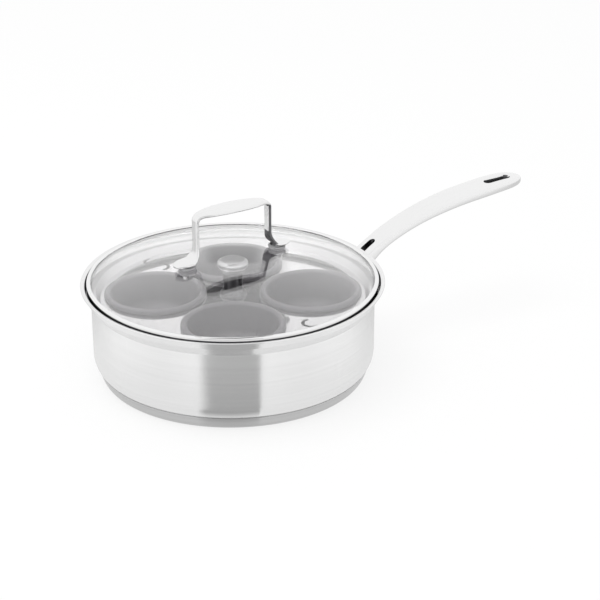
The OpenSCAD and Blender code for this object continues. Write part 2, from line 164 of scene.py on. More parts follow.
def loftRings(name, rings):
    # a circle is shaped into the first ring and extruded from ring to ring
    startClean()
    sides = len(rings[0])
    bpy.ops.mesh.primitive_circle_add(vertices=sides, radius=0.01, fill_type="NGON")
    piece = placed(name)
    for v, place in zip(piece.data.vertices, rings[0]):
        v.co = Vector(place) * mm
    bpy.ops.object.mode_set(mode="EDIT")
    bpy.ops.mesh.select_mode(type="FACE")
    bpy.ops.mesh.select_all(action="SELECT")
    for a, b in zip(rings, rings[1:]):
        step = (Vector(b[0]) - Vector(a[0])) * mm
        bpy.ops.mesh.extrude_region_move(TRANSFORM_OT_translate={"value": tuple(step)})
    bpy.ops.object.mode_set(mode="OBJECT")
    for k, ring in enumerate(rings):
        for j, place in enumerate(ring):
            piece.data.vertices[k * sides + j].co = Vector(place) * mm
    bpy.ops.object.mode_set(mode="EDIT")
    bpy.ops.mesh.select_all(action="SELECT")
    bpy.ops.mesh.normals_make_consistent(inside=False)
    bpy.ops.object.mode_set(mode="OBJECT")
    bpy.ops.object.shade_smooth_by_angle(angle=math.radians(50))
    return piece


def stadium(x0, x1, width, z):
    # outline of a slot with round ends, at height z
    radius = width / 2
    outline = arcPoints((x1 - radius, 0), radius, -90, 90, 12)
    outline += arcPoints((x0 + radius, 0), radius, 90, 270, 12)
    return [(x, y, z) for x, y in outline]


def slotCutter(name, slot, heights, chamfer=0.0):
    # upright stadium that cuts a slot; from the second height on it widens into a chamfer
    x0, x1, width = slot
    rings = [stadium(x0, x1, width, z) for z in heights[:2]]
    for z in heights[2:]:
        rings.append(stadium(x0 - chamfer, x1 + chamfer, width + 2 * chamfer, z))
    return loftRings(name, rings)


def cutAway(piece, cutters):
    for cutter in cutters:
        startClean()
        bpy.context.view_layer.objects.active = piece
        cut = piece.modifiers.new("cut", "BOOLEAN")
        cut.operation = "DIFFERENCE"
        cut.solver = "MANIFOLD"
        cut.object = cutter
        bpy.ops.object.modifier_apply(modifier="cut")
        bpy.data.objects.remove(cutter, do_unlink=True)


def copyPiece(piece, name, shift=(0, 0), turn=0):
    # a copy with its own mesh, turned about the origin and then moved
    startClean()
    twin = piece.copy()
    twin.data = piece.data.copy()
    bpy.context.collection.objects.link(twin)
    twin.select_set(True)
    bpy.context.view_layer.objects.active = twin
    twin.rotation_euler = (0, 0, math.radians(turn))
    twin.location = (shift[0] * mm, shift[1] * mm, 0)
    return placed(name)


# node helpers

def newMaterial(name):
    made = bpy.data.materials.new(name)
    made.use_nodes = True
    tree = made.node_tree
    return made, tree, tree.nodes["Principled BSDF"]


def addNode(tree, kind, settings=None, **inputs):
    node = tree.nodes.new(kind)
    for key, value in (settings or {}).items():
        setattr(node, key, value)
    for key, value in inputs.items():
        node.inputs[key.replace("_", " ")].default_value = value
    return node


def mathNode(tree, operation, a, b=None):
    node = tree.nodes.new("ShaderNodeMath")
    node.operation = operation
    for socket, value in zip(node.inputs, (a, b)):
        if value is None:
            continue
        if isinstance(value, (int, float)):
            socket.default_value = value
        else:
            tree.links.new(value, socket)
    return node.outputs[0]


def newGroup(name, inputs, outputs):
    group = bpy.data.node_groups.new(name, "ShaderNodeTree")
    for label, kind, value in inputs:
        socket = group.interface.new_socket(label, in_out="INPUT", socket_type=kind)
        if value is not None:
            socket.default_value = value
    for label, kind in outputs:
        group.interface.new_socket(label, in_out="OUTPUT", socket_type=kind)
    return group, group.nodes.new("NodeGroupInput"), group.nodes.new("NodeGroupOutput")


def buildTurnedCoordinates():
    # Object coordinates turned into (way round, radius, height), so brushing can run round a pan
    group, inside, outside = newGroup("turnedCoordinates", [("Vector", "NodeSocketVector", None)],
                                      [("Vector", "NodeSocketVector")])
    split = group.nodes.new("ShaderNodeSeparateXYZ")
    group.links.new(inside.outputs["Vector"], split.inputs[0])
    x, y, z = split.outputs
    angle = mathNode(group, "ARCTAN2", y, x)
    square = mathNode(group, "ADD", mathNode(group, "MULTIPLY", x, x), mathNode(group, "MULTIPLY", y, y))
    radius = mathNode(group, "SQRT", square)
    joined = group.nodes.new("ShaderNodeCombineXYZ")
    group.links.new(mathNode(group, "SINE", angle), joined.inputs[0])
    group.links.new(radius, joined.inputs[1])
    group.links.new(z, joined.inputs[2])
    group.links.new(joined.outputs[0], outside.inputs["Vector"])
    return group


def buildBrushedLines():
    # fine parallel scratches with a few longer streaks; Vector is already stretched along the lines
    group, inside, outside = newGroup(
        "brushedLines",
        [("Vector", "NodeSocketVector", None), ("Base Color", "NodeSocketColor", (0.8, 0.8, 0.8, 1)),
         ("Tone Spread", "NodeSocketFloat", 0.05), ("Roughness", "NodeSocketFloat", 0.25),
         ("Roughness Spread", "NodeSocketFloat", 0.08), ("Depth", "NodeSocketFloat", 0.1)],
        [("Color", "NodeSocketColor"), ("Roughness", "NodeSocketFloat"), ("Normal", "NodeSocketVector")])
    fine = addNode(group, "ShaderNodeTexNoise", Scale=1.0, Detail=3.0, Roughness=0.6)
    broad = addNode(group, "ShaderNodeTexNoise", Scale=0.13, Detail=2.0, Roughness=0.5)
    for noise in (fine, broad):
        group.links.new(inside.outputs["Vector"], noise.inputs["Vector"])
    both = mathNode(group, "ADD", mathNode(group, "MULTIPLY", fine.outputs[0], 0.6),
                    mathNode(group, "MULTIPLY", broad.outputs[0], 0.4))
    centred = mathNode(group, "SUBTRACT", both, 0.5)
    tone = mathNode(group, "ADD", mathNode(group, "MULTIPLY", centred, inside.outputs["Tone Spread"]), 1.0)
    scale = group.nodes.new("ShaderNodeVectorMath")
    scale.operation = "SCALE"
    group.links.new(inside.outputs["Base Color"], scale.inputs[0])
    group.links.new(tone, scale.inputs["Scale"])
    group.links.new(scale.outputs[0], outside.inputs["Color"])
    rough = mathNode(group, "ADD", mathNode(group, "MULTIPLY", centred, inside.outputs["Roughness Spread"]),
                     inside.outputs["Roughness"])
    group.links.new(rough, outside.inputs["Roughness"])
    bump = addNode(group, "ShaderNodeBump", Distance=0.0001)
    group.links.new(inside.outputs["Depth"], bump.inputs["Strength"])
    group.links.new(fine.outputs[0], bump.inputs["Height"])
    group.links.new(bump.outputs[0], outside.inputs["Normal"])
    return group


turnedCoordinates = buildTurnedCoordinates()
brushedLines = buildBrushedLines()


def steelMaterial(name, look):
    # brushed or polished steel; look["way"] is round, along or flat
    made, tree, shader = newMaterial(name)
    place = tree.nodes.new("ShaderNodeTexCoord")
    source = place.outputs["Object"]
    if look["way"] == "round":
        turned = tree.nodes.new("ShaderNodeGroup")
        turned.node_tree = turnedCoordinates
        tree.links.new(source, turned.inputs["Vector"])
        source = turned.outputs["Vector"]
    stretch = addNode(tree, "ShaderNodeMapping", Scale=look["stretch"])
    tree.links.new(source, stretch.inputs["Vector"])
    lines = tree.nodes.new("ShaderNodeGroup")
    lines.node_tree = brushedLines
    lines.inputs["Base Color"].default_value = (*look["color"], 1)
    lines.inputs["Tone Spread"].default_value = look["toneSpread"]
    lines.inputs["Roughness"].default_value = look["roughness"]
    lines.inputs["Roughness Spread"].default_value = look["roughnessSpread"]
    lines.inputs["Depth"].default_value = look["depth"]
    tree.links.new(stretch.outputs[0], lines.inputs["Vector"])
    tree.links.new(lines.outputs["Color"], shader.inputs["Base Color"])
    tree.links.new(lines.outputs["Roughness"], shader.inputs["Roughness"])
    tree.links.new(lines.outputs["Normal"], shader.inputs["Normal"])
    shader.inputs["Metallic"].default_value = 1
    if look.get("edge"):
        # rougher outside a radius: starts, is full, how much
        start, full, more = look["edge"]
        radius = tree.nodes.new("ShaderNodeSeparateXYZ")
        tree.links.new(turned.outputs["Vector"], radius.inputs[0])
        duller = addNode(tree, "ShaderNodeMapRange", From_Min=start, From_Max=full, To_Max=more)
        tree.links.new(radius.outputs[1], duller.inputs["Value"])
        rougher = mathNode(tree, "ADD", lines.outputs["Roughness"], duller.outputs[0])
        tree.links.new(rougher, shader.inputs["Roughness"])
    if look.get("anisotropic"):
        shader.inputs["Anisotropic"].default_value = look["anisotropic"]
        shader.inputs["Anisotropic Rotation"].default_value = 0.25
        tangent = tree.nodes.new("ShaderNodeTangent")
        tangent.direction_type = "RADIAL"
        tangent.axis = "Z"
        tree.links.new(tangent.outputs[0], shader.inputs["Tangent"])
    return made


steelLooks = {
    "panSteel": dict(way="round", color=(0.85, 0.85, 0.85), stretch=(5, 3000, 4200), toneSpread=0.18,
                     roughness=0.22, roughnessSpread=0.12, depth=0.12, anisotropic=0.75),
    "baseSteel": dict(way="round", color=(0.56, 0.56, 0.56), stretch=(5, 3500, 3500), toneSpread=0.4,
                      roughness=0.34, roughnessSpread=0.14, depth=0.2, anisotropic=0.4),
    "traySteel": dict(way="round", color=(0.81, 0.81, 0.81), stretch=(5, 2600, 2600), toneSpread=0.06,
                      edge=(0.087, 0.0895, 0.3), roughness=0.07, roughnessSpread=0.05, depth=0.03),
    "knobSteel": dict(way="round", color=(0.57, 0.57, 0.57), stretch=(8, 5000, 5000), toneSpread=0.06,
                      roughness=0.30, roughnessSpread=0.08, depth=0.06),
    "bandSteel": dict(way="round", color=(0.88, 0.88, 0.88), stretch=(4, 3000, 3000), toneSpread=0.04,
                      roughness=0.06, roughnessSpread=0.03, depth=0.02),
    "handleSteel": dict(way="along", color=(0.87, 0.87, 0.87), stretch=(60, 3200, 3200), toneSpread=0.08,
                        roughness=0.20, roughnessSpread=0.08, depth=0.06),
    "barSteel": dict(way="along", color=(0.86, 0.86, 0.86), stretch=(60, 3600, 3600), toneSpread=0.06,
                     roughness=0.20, roughnessSpread=0.07, depth=0.05),
    # painted shade: dark steel laid on faces where shade and dark reflections fall (the lip's inner face, the
    # slot walls, the knob's neck and foot, the lid handle's underside and inner sides)
    "paintedShadeSteel": dict(way="along", color=(0.16, 0.16, 0.165), stretch=(60, 3600, 3600), toneSpread=0.2,
                        roughness=0.30, roughnessSpread=0.10, depth=0.08),
    "fastenerSteel": dict(way="flat", color=(0.80, 0.80, 0.80), stretch=(2500, 2500, 2500), toneSpread=0.08,
                          roughness=0.16, roughnessSpread=0.06, depth=0.04),
    "coreAluminium": dict(way="flat", color=(0.78, 0.78, 0.79), stretch=(1500, 1500, 1500), toneSpread=0.08,
                          roughness=0.34, roughnessSpread=0.10, depth=0.1),
}
materials = {name: steelMaterial(name, look) for name, look in steelLooks.items()}

# the rim colour is painted light: the same coating as inside the cup, made lighter where the rolled rim faces
# up to the light
nonStick = {"color": (0.155, 0.15, 0.16), "rimPaintedLightColor": (0.23, 0.225, 0.235), "speck": 0.05, "roughness": 0.34,
            "rimRoughness": 0.22, "grain": 2600, "sheen": 0.5, "rimSheen": 0.8}


def nonStickMaterial(name, color, roughness, sheen):
    made, tree, shader = newMaterial(name)
    place = tree.nodes.new("ShaderNodeTexCoord")
    grain = addNode(tree, "ShaderNodeTexNoise", Scale=nonStick["grain"], Detail=4.0, Roughness=0.7)
    cloud = addNode(tree, "ShaderNodeTexNoise", Scale=40.0, Detail=2.0)
    for noise in (grain, cloud):
        tree.links.new(place.outputs["Object"], noise.inputs["Vector"])
    mixed = mathNode(tree, "ADD", mathNode(tree, "MULTIPLY", grain.outputs[0], 0.7),
                     mathNode(tree, "MULTIPLY", cloud.outputs[0], 0.3))
    low, high = 1 - nonStick["speck"] * 2, 1 + nonStick["speck"] * 2
    ramp = tree.nodes.new("ShaderNodeValToRGB")
    ramp.color_ramp.elements[0].position = 0.3
    ramp.color_ramp.elements[1].position = 0.7
    ramp.color_ramp.elements[0].color = (*(c * low for c in color), 1)
    ramp.color_ramp.elements[1].color = (*(c * high for c in color), 1)
    tree.links.new(mixed, ramp.inputs[0])
    tree.links.new(ramp.outputs[0], shader.inputs["Base Color"])
    rough = mathNode(tree, "ADD", mathNode(tree, "MULTIPLY", grain.outputs[0], 0.12), roughness - 0.06)
    tree.links.new(rough, shader.inputs["Roughness"])
    bump = addNode(tree, "ShaderNodeBump", Strength=0.12, Distance=0.00008)
    tree.links.new(grain.outputs[0], bump.inputs["Height"])
    tree.links.new(bump.outputs[0], shader.inputs["Normal"])
    shader.inputs["Specular IOR Level"].default_value = sheen
    return made


glassLook = {"color": (0.99, 0.985, 0.99), "ior": 1.5, "smear": 0.012, "coatWeight": 0.8, "coatIor": 1.7}


def glassMaterial():
    # clear tempered glass; shadow and diffuse rays pass straight through so the tray stays lit
    made, tree, shader = newMaterial("temperedGlass")
    place = tree.nodes.new("ShaderNodeTexCoord")
    smear = addNode(tree, "ShaderNodeTexNoise", Scale=18.0, Detail=3.0)
    tree.links.new(place.outputs["Object"], smear.inputs["Vector"])
    rough = mathNode(tree, "MULTIPLY", smear.outputs[0], glassLook["smear"])
    tree.links.new(rough, shader.inputs["Roughness"])
    bump = addNode(tree, "ShaderNodeBump", Strength=0.02, Distance=0.0002)
    tree.links.new(smear.outputs[0], bump.inputs["Height"])
    tree.links.new(bump.outputs[0], shader.inputs["Normal"])
    shader.inputs["Base Color"].default_value = (*glassLook["color"], 1)
    shader.inputs["Metallic"].default_value = 0
    shader.inputs["Transmission Weight"].default_value = 1
    shader.inputs["IOR"].default_value = glassLook["ior"]
    shader.inputs["Coat Weight"].default_value = glassLook["coatWeight"]
    shader.inputs["Coat IOR"].default_value = glassLook["coatIor"]
    rays = tree.nodes.new("ShaderNodeLightPath")
    easy = mathNode(tree, "MAXIMUM", rays.outputs["Is Shadow Ray"], rays.outputs["Is Diffuse Ray"])
    clear = addNode(tree, "ShaderNodeBsdfTransparent", Color=(0.97, 0.965, 0.97, 1))
    mixer = tree.nodes.new("ShaderNodeMixShader")
    tree.links.new(easy, mixer.inputs[0])
    tree.links.new(shader.outputs[0], mixer.inputs[1])
    tree.links.new(clear.outputs[0], mixer.inputs[2])
    tree.links.new(mixer.outputs[0], tree.nodes["Material Output"].inputs["Surface"])
    return made


def rubberMaterial():
    made, tree, shader = newMaterial("siliconeRubber")
    place = tree.nodes.new("ShaderNodeTexCoord")
    grain = addNode(tree, "ShaderNodeTexNoise", Scale=1500.0, Detail=3.0)
    tree.links.new(place.outputs["Object"], grain.inputs["Vector"])
    ramp = tree.nodes.new("ShaderNodeValToRGB")
    ramp.color_ramp.elements[0].color = (0.55, 0.55, 0.56, 1)
    ramp.color_ramp.elements[1].color = (0.72, 0.72, 0.73, 1)
    tree.links.new(grain.outputs[0], ramp.inputs[0])
    tree.links.new(ramp.outputs[0], shader.inputs["Base Color"])
    tree.links.new(mathNode(tree, "ADD", mathNode(tree, "MULTIPLY", grain.outputs[0], 0.2), 0.4),
                   shader.inputs["Roughness"])
    bump = addNode(tree, "ShaderNodeBump", Strength=0.15, Distance=0.0001)
    tree.links.new(grain.outputs[0], bump.inputs["Height"])
    tree.links.new(bump.outputs[0], shader.inputs["Normal"])
    return made


materials["nonStick"] = nonStickMaterial("nonStickCoating", nonStick["color"], nonStick["roughness"],
                                         nonStick["sheen"])
# lit copy of the coating for the rims: painted light
materials["nonStickPaintedLightRim"] = nonStickMaterial("nonStickPaintedLightRim", nonStick["rimPaintedLightColor"], nonStick["rimRoughness"],
                                            nonStick["rimSheen"])
materials["glass"] = glassMaterial()
materials["rubber"] = rubberMaterial()
print("materials made:", len(materials))


def dress(piece, material, body, slot, *stoodFor):
    piece.data.materials.clear()
    piece.data.materials.append(materials[material])
    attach(piece, body)
    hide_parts(*stoodFor)


# pan body

panShape = {"wallRadius": 101, "sheet": 1, "underside": 5.2, "corner": 13, "creaseHeight": 58.5,
            "seatRise": 6.2, "seatRun": 4.1, "lipRise": 5.7, "lipWidth": 3, "lipStep": 1, "lipTuck": 1.3,
            "outerRounds": (0.7, 1.6, 1.2, 0.4), "innerRounds": (1.4, 1.2, 0.9, 0.4),  # crease, seat, lip, edge
            "paintedLipShade": (64.4, 69.3), "spinSteps": 192}


def panProfile(s):
    half = s["sheet"] / 2
    wall = s["wallRadius"] - half
    seatHead = (wall + s["seatRun"], s["creaseHeight"] + s["seatRise"])
    lipFoot = (seatHead[0] + s["lipStep"], seatHead[1] + s["lipRise"] - s["lipTuck"])
    lipEdge = (s["wallRadius"] + s["seatRun"] + s["lipWidth"], seatHead[1] + s["lipRise"] - half)
    line = [(wall, s["underside"] + s["corner"]), (wall, s["creaseHeight"]), seatHead, lipFoot, lipEdge]
    inner, outer = sheetSides(line, s["sheet"])
    outside = [(*point, bend) for point, bend in zip(outer[1:], s["outerRounds"])]
    inside = [(*point, bend) for point, bend in zip(inner[1:], s["innerRounds"])]
    corners = [(0, s["underside"], 0), (s["wallRadius"], s["underside"], s["corner"]),
               *outside, *reversed(inside),
               (s["wallRadius"] - s["sheet"], s["underside"] + s["sheet"], s["corner"] - s["sheet"]),
               (0, s["underside"] + s["sheet"], 0)]
    return rounded(corners, 7)


panBody = spinProfile("panShell", panProfile(panShape), steps=panShape["spinSteps"])
dress(panBody, "panSteel", "pan", "pan_steel", "pan_body", "pan_floor")
panBody.data.materials.append(materials["paintedShadeSteel"])  # painted shadow on the inner face of the lip, for the dark gap between band and lip
# heights between which the lip's inward faces get the painted shadow
lipLow, lipHigh = panShape["paintedLipShade"]
for face in panBody.data.polygons:
    outward = face.normal.x * face.center.x + face.normal.y * face.center.y
    onLip = lipLow * mm < face.center.z < lipHigh * mm and face.center.xy.length > panShape["wallRadius"] * mm
    if onLip and outward < 0:
        face.material_index = 1

# base cap: a dished disc with a shallow groove where it meets the body

baseShape = {"footRadius": 94.5, "footRun": 2, "heel": 0.8, "grooveOut": 1.1, "grooveHeight": 2.4,
             "capTop": 9.2, "capTopRadius": 98.05, "topWidth": 0.75, "topDepth": 4, "skin": 0.8,
             "coreRadius": 93.05, "coreGap": 0.05}


def baseProfile(s):
    inside = s["skin"] - s["coreGap"]
    corners = [(0, 0, 0), (s["footRadius"] - s["footRun"], 0, 1.5), (s["footRadius"], s["heel"], 1.2),
               (s["footRadius"] + s["grooveOut"], s["grooveHeight"], 2), (s["capTopRadius"], s["capTop"], 0.35),
               (s["capTopRadius"] - s["topWidth"], s["capTop"], 0),
               (s["coreRadius"], s["capTop"] - s["topDepth"], 0), (s["coreRadius"], inside, 0), (0, inside, 0)]
    return rounded(corners, 7)


baseCap = spinProfile("baseShell", baseProfile(baseShape), steps=panShape["spinSteps"])
dress(baseCap, "baseSteel", "pan", "cap_steel", "base_cap")
print("pan and base made")

# long handle

handleShape = {
    # distance out, top height, lower height, width
    "stations": [(98, 54.5, 31, 27), (104, 60.7, 38, 24), (110.1, 67.2, 49.5, 18.5),
                 (119.9, 73.4, 61.4, 17.5), (134.5, 80.4, 71.4, 19), (159.5, 89, 81, 21.5),
                 (190.4, 95.5, 87.5, 24), (225, 99.1, 91.1, 24.5), (243, 99.9, 92.7, 22),
                 (252, 99.7, 93.5, 13.7), (255, 99, 94.7, 4.9)],
    "wallFace": 101.05, "between": 6, "sides": 48, "upper": 6.5, "lower": 2.6,
    # slots: from, to and width; cuts: heights of the cutter
    "coolingSlot": (108.9, 121.3, 6), "coolingCut": (30, 110), "hangingSlot": (222.5, 245.5, 7),
    "hangingCut": (80, 98.9, 101.5), "chamfer": 1.2}


def handleRings(s):
    rings = []
    for x, top, low, width in blendStations(s["stations"], s["between"]):
        outline = squareRound(width, top - low, s["upper"], s["lower"], s["sides"])
        rings.append([(x, u, (top + low) / 2 + v) for u, v in outline])
    free = [ring for ring in rings if ring[0][0] > s["wallFace"] + 0.4]
    last = rings[len(rings) - len(free) - 1]
    # the pad's face follows the wall
    onWall = [(math.sqrt(s["wallFace"] ** 2 - y ** 2), y, z) for x, y, z in last]
    return [onWall] + free


longHandle = loftRings("handleBar", handleRings(handleShape))
cooling = slotCutter("coolingCutter", handleShape["coolingSlot"], handleShape["coolingCut"])
hanging = slotCutter("hangingCutter", handleShape["hangingSlot"], handleShape["hangingCut"],
                     handleShape["chamfer"])
cutAway(longHandle, [cooling, hanging])
startClean()
longHandle.select_set(True)
bpy.context.view_layer.objects.active = longHandle
bpy.ops.object.shade_smooth_by_angle(angle=math.radians(40))
dress(longHandle, "handleSteel", "pan", "handle_steel", "long_handle")
longHandle.data.materials.append(materials["paintedShadeSteel"])  # painted shade on the walls of the two slots
for face in longHandle.data.polygons:
    for x0, x1, width in (handleShape["coolingSlot"], handleShape["hangingSlot"]):
        within = x0 * mm <= face.center.x <= x1 * mm and abs(face.center.y) < (width / 2 + 0.1) * mm
        if within and abs(face.normal.z) < 0.5:
            face.material_index = 1
print("long handle made")

# cups

cupShape = {"reach": 55, "turn": -30, "rimOuter": 36.2, "rimRoll": 2.45, "sheet": 1.2, "seat": 57.3,
            "rollUp": 0.9, "depth": 25, "taper": 4.3, "corner": 8, "steps": 96}


def cupProfile(s):
    roll = s["rimRoll"]
    rollZ = s["seat"] + s["rollUp"]
    centre = (s["rimOuter"] - roll, rollZ)
    mouth = s["rimOuter"] - 2 * roll
    floor = rollZ + roll - s["depth"]
    bend = mouth - s["taper"]
    over = arcPoints(centre, roll, 180, 0, 14)  # top of the rolled rim
    under = arcPoints(centre, roll - s["sheet"], 0, 180, 10)
    inside = rounded([(0, floor, 0), (bend, floor, s["corner"]), (mouth, rollZ, 0)], 7)
    outside = rounded([(mouth + s["sheet"], rollZ, 0),
                       (bend + s["sheet"], floor - s["sheet"], s["corner"] + s["sheet"]),
                       (0, floor - s["sheet"], 0)], 7)
    hem = [(s["rimOuter"], s["seat"]), (s["rimOuter"] - s["sheet"], s["seat"])]
    return inside[:-1] + over + hem + under[:-1] + outside


firstCup = spinProfile("cupMaster", cupProfile(cupShape), steps=cupShape["steps"])
# faces above the seat take the rim's painted light
for face in firstCup.data.polygons:
    face.material_index = int(face.center.z > cupShape["seat"] * mm)
for i in range(4):
    a = math.radians(cupShape["turn"] + 90 * i)
    shift = (cupShape["reach"] * math.cos(a), cupShape["reach"] * math.sin(a))
    cup = copyPiece(firstCup, f"poachingCup{i + 1}", shift)
    dress(cup, "nonStick", f"cup_{i + 1}", "nonstick", f"cup_{i + 1}")
    cup.data.materials.append(materials["nonStickPaintedLightRim"])
bpy.data.objects.remove(firstCup, do_unlink=True)
print("cups made")

# lifting knob

knobShape = {"plate": 57, "height": 25.6, "head": 5, "headRadius": 11, "crown": 2.6, "crownDrop": 1.6,
             "neckRadius": 7, "neckAbove": 5, "neckBelow": 4, "footRadius": 9.5, "footHeight": 1.2,
             "bore": 2.55, "boreDepth": 12}


def knobProfile(s):
    z, top = s["plate"], s["plate"] + s["height"]
    corners = [(0, z + s["boreDepth"], 0), (s["bore"], z + s["boreDepth"], 0), (s["bore"], z, 0),
               (s["footRadius"], z, 0.15), (s["footRadius"], z + s["footHeight"], 0.5),
               (s["neckRadius"], z + s["neckAbove"], 3), (s["neckRadius"], top - s["head"] - s["neckBelow"], 4),
               (s["headRadius"] - 1, top - s["head"], 1), (s["headRadius"], top - s["head"] + 1.2, 0.8),
               (s["headRadius"], top - s["crownDrop"], 1.5), (s["headRadius"] - s["crown"], top, 1.6),
               (0, top, 0)]
    return rounded(corners, 7)


knob = spinProfile("trayKnob", knobProfile(knobShape), steps=96)
dress(knob, "knobSteel", "tray", "knob_steel", "lifting_knob")
knob.data.materials.append(materials["paintedShadeSteel"])  # painted shade on the neck and foot, standing in for the lid handle's dark reflection
headLow = knobShape["plate"] + knobShape["height"] - knobShape["head"]
for face in knob.data.polygons:
    face.material_index = int(face.center.z < headLow * mm)

# lid glass

glassShape = {"domeRadius": 285, "thickness": 4, "centre": -195.45, "edgeRadius": 103.1}


def glassProfile(s):
    points = []
    for radius, way in ((s["domeRadius"], 1), (s["domeRadius"] - s["thickness"], -1)):
        side = []
        for i in range(25):
            r = s["edgeRadius"] * i / 24
            side.append((r, s["centre"] + math.sqrt(radius ** 2 - r ** 2)))
        points += side[::way]
    return points


lidGlass = spinProfile("lidDome", glassProfile(glassShape), steps=192, smoothAngle=30)
dress(lidGlass, "glass", "lid", "lid_glass", "lid_glass")

# lid band

bandShape = {"outer": 103.8, "low": 64.94, "top": 71.74, "sheet": 0.6, "lap": 2.9}


def bandProfile(s):
    outer, low, top, t = s["outer"], s["low"], s["top"], s["sheet"]
    lap = outer - s["lap"]
    corners = [(lap, top - t, 0), (lap, top - 0.1, 0), (lap + 0.3, top, 0.2), (outer, top, 0.75),
               (outer, low, 0.5), (lap, low, 0.2), (lap, low + t, 0.2), (outer - t, low + t, 0),
               (outer - t, top - t, 0), (lap, top - t, 0)]
    return rounded(corners, 8)[:-1]


lidBand = spinProfile("lidRim", bandProfile(bandShape), steps=192, closed=True)
dress(lidBand, "bandSteel", "lid", "band_steel", "lid_band")
print("lid glass and band made")

# lid handle

barShape = {
    # distance from the middle, height, width, thickness
    "half": [(0, 124.65, 18.4, 2.7), (6.4, 124.6, 18, 2.7), (16.1, 124.4, 15.6, 2.7), (25.2, 123.8, 10, 2.7),
             (28.7, 121.4, 8, 2.7), (29.3, 116, 7, 2.6), (29.3, 101.5, 7, 2.6), (29.7, 97.4, 8.5, 2.6),
             (31.2, 93.9, 12, 2.4), (34.1, 91.1, 14.6, 2.2), (38.1, 90.5, 14.8, 2.2), (41.8, 90.3, 12.8, 2.1),
             (45.2, 89.9, 8, 1.8), (46.9, 89.6, 3, 1.3)],
    "between": 5, "sides": 36, "square": 4.4, "screwAt": 36.5, "bossRadius": 3.2, "bossTop": 90.3,
    "bossLow": 88.6, "paintedShadeBelow": 101, "legTop": 122, "legLow": 92}


def barRings(s):
    left = [(-x, z, w, t) for x, z, w, t in reversed(s["half"][1:])]
    rows = blendStations(left + s["half"], s["between"])
    rings = []
    for i, (x, z, width, thick) in enumerate(rows):
        before, after = rows[max(i - 1, 0)], rows[min(i + 1, len(rows) - 1)]
        way = Vector((after[0] - before[0], after[1] - before[1])).normalized()
        outline = squareRound(width, thick, s["square"], s["square"], s["sides"])
        rings.append([(x - way.y * v, u, z + way.x * v) for u, v in outline])
    return rings


lidBar = loftRings("lidBar", barRings(barShape))
bossRadius, bossTop, bossLow = barShape["bossRadius"], barShape["bossTop"], barShape["bossLow"]
bossCorners = [(0, bossTop, 0), (bossRadius, bossTop, 0), (bossRadius, bossLow, 0.3), (0, bossLow, 0)]
for side in (-1, 1):
    boss = spinProfile("boss", rounded(bossCorners, 6), centre=(side * barShape["screwAt"], 0), steps=48)
    startClean()
    bpy.context.view_layer.objects.active = lidBar
    join = lidBar.modifiers.new("join", "BOOLEAN")
    join.operation = "UNION"
    join.solver = "MANIFOLD"
    join.object = boss
    bpy.ops.object.modifier_apply(modifier="join")
    bpy.data.objects.remove(boss, do_unlink=True)
startClean()
lidBar.select_set(True)
bpy.context.view_layer.objects.active = lidBar
bpy.ops.object.shade_smooth_by_angle(angle=math.radians(50))
dress(lidBar, "barSteel", "lid", "bar_steel", "lid_handle")
lidBar.data.materials.append(materials["paintedShadeSteel"])  # painted shade and painted dark reflection on the underside and inner sides of the strip and the front of the legs
for face in lidBar.data.polygons:
    side = math.copysign(1, face.center.x)
    inward = -face.normal.x * side
    onLeg = barShape["legLow"] * mm < face.center.z < barShape["legTop"] * mm
    front = -face.normal.y
    under = face.normal.z < -0.5
    innerSide = inward > 0.7 and face.center.z < barShape["paintedShadeBelow"] * mm
    frontSide = onLeg and side > 0 and front > 0.5
    innerCorner = onLeg and side < 0 and front > 0.4 and inward > 0.4
    if under or innerSide or frontSide or innerCorner:
        face.material_index = 1
print("lid handle made")

# CAD nodes that keep their shape get a finish

finishNodes = {
    "coreAluminium": ["base_core"],
    "traySteel": ["tray"],
    "fastenerSteel": ["rivet_left", "rivet_right", "knob_washer", "knob_screw", "collar_left", "collar_right",
                      "lid_washer_left", "lid_washer_right", "lid_screw_left", "lid_screw_right"],
    "rubber": ["upper_ring_left", "upper_ring_right", "lower_ring_left", "lower_ring_right"]}
for finish, finished in finishNodes.items():
    for node in finished:
        for slot in nodes[node].material_slots:
            slot.material = materials[finish]
print("frame nodes finished:", sum(len(finished) for finished in finishNodes.values()))

# studio

studio = {"turn": 32, "floorSize": 12, "floorColor": (0.96, 0.96, 0.96), "shadowShare": 0.22,
          "reflectedShadow": 0.45, "skyForEye": 1.0, "skyForLight": 0.85, "skyUnderGlass": 1.1, "lampPower": 8}


def turnedPlace(x, y, z):
    # from the camera's own bearing (x to its right, y away from it) to the frame
    a = math.radians(-studio["turn"])
    return Vector((x * math.cos(a) - y * math.sin(a), x * math.sin(a) + y * math.cos(a), z))


